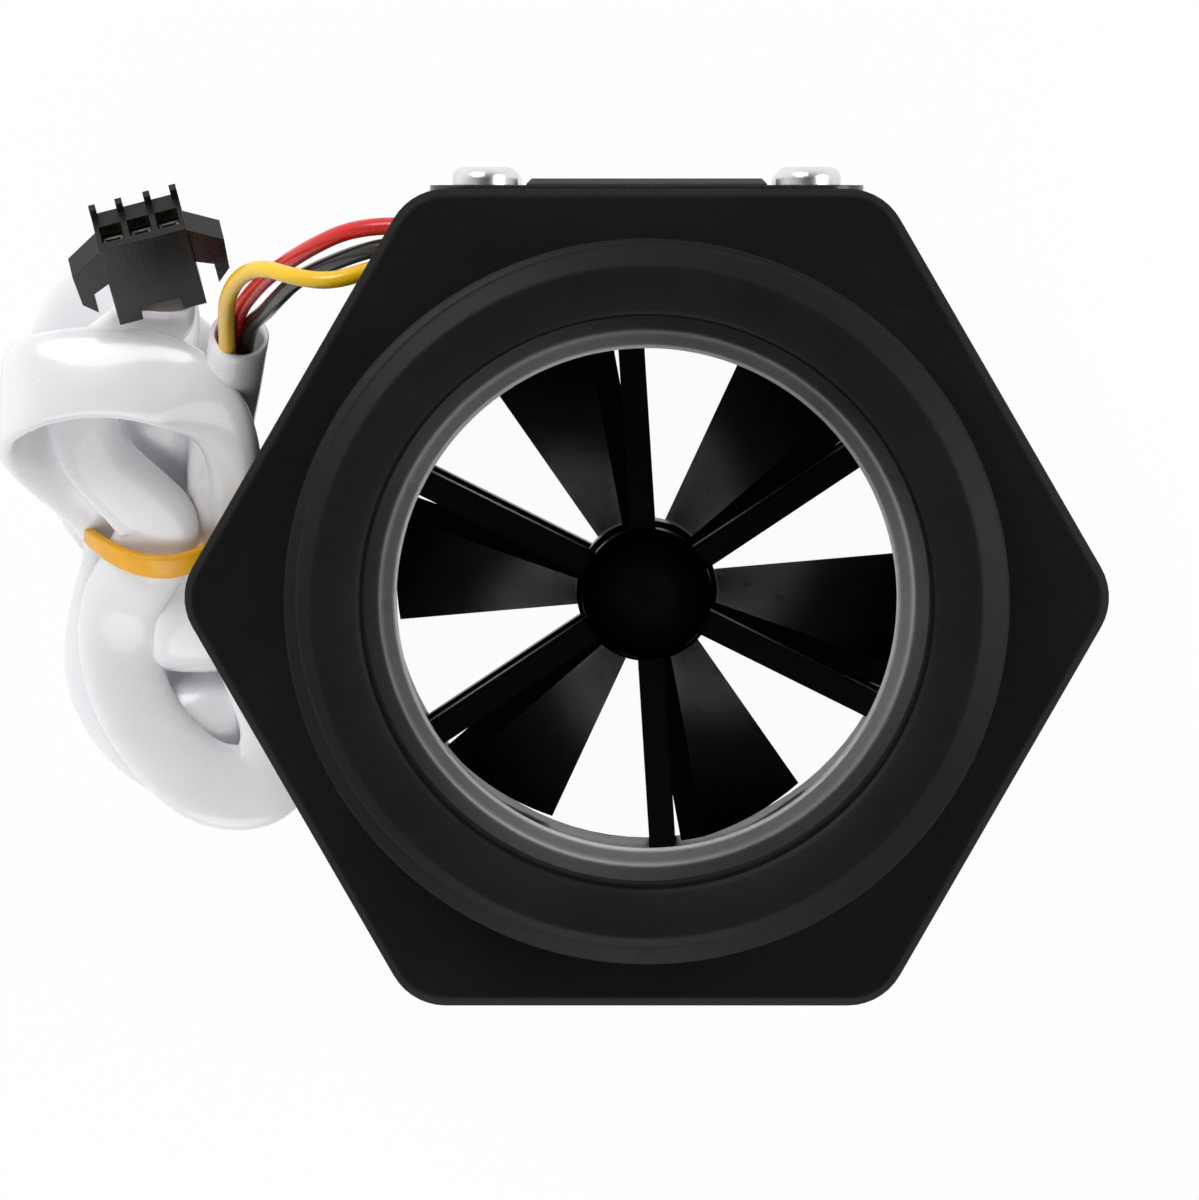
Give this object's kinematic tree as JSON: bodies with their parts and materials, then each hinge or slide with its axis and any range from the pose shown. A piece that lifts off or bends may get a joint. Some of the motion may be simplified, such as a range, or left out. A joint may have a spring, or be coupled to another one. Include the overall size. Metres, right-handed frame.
{
  "type": "turbine flow meter",
  "caption": "Plastic turbine flow meter with a hexagonal body, male pipe threads at both ends, a spinning bladed rotor and a plug-ended three-wire lead.",
  "frame": {"origin": "centre of the outlet end face, on the flow axis", "axes": "+Z along the flow axis towards the inlet, +Y normal to the flat with the sensor cover, -X towards the lead"},
  "size_m": [0.0949, 0.07, 0.12],
  "materials": {
    "body_plastic": "fine moulded texture, satin",
    "ring_grey": "satin",
    "spider_plastic": "semi-gloss",
    "bearing_ptfe": "satin",
    "rotor_plastic": "semi-gloss",
    "stainless": "ground",
    "magnet": "sintered",
    "cover_plastic": "gloss",
    "gasket_rubber": "matte",
    "screw_steel": "plated",
    "board_green": "solder mask",
    "chip_black": "moulded epoxy",
    "component_tan": "ceramic and solder",
    "wire_red": "gloss PVC",
    "wire_black": "gloss PVC",
    "wire_yellow": "gloss PVC",
    "sleeve_white": "gloss PVC",
    "band_amber": "satin rubber",
    "connector_black": "semi-gloss nylon",
    "contact_tin": "tinned"
  },
  "bodies": {
    "meter": {"housing": "body_plastic", "inlet_retaining_ring": "ring_grey", "inlet_spider": "spider_plastic", "outlet_spider": "spider_plastic", "inlet_bearing": "bearing_ptfe", "outlet_bearing": "bearing_ptfe", "sensor_cover": "cover_plastic", "cover_gasket": "gasket_rubber", "cover_screws": "screw_steel", "sensor_board": "board_green", "hall_sensor": "chip_black", "board_components": "component_tan", "cable_gland": "gasket_rubber", "wire_red": "wire_red", "wire_black": "wire_black", "wire_yellow": "wire_yellow", "sleeve_lead": "sleeve_white", "sleeve_hank": "sleeve_white", "sleeve_tail": "sleeve_white", "hank_band": "band_amber", "connector_housing": "connector_black", "connector_contacts": "contact_tin"},
    "rotor": {"rotor": "rotor_plastic", "rotor_shaft": "stainless", "rotor_magnets": "magnet", "thrust_washers": "bearing_ptfe"}
  },
  "joints": [
    {"name": "rotor_spin", "type": "hinge", "parent": "meter", "child": "rotor", "pos_m": [0, 0, 0.0567], "axis": [0, 0, 1], "continuous": true}
  ]
}
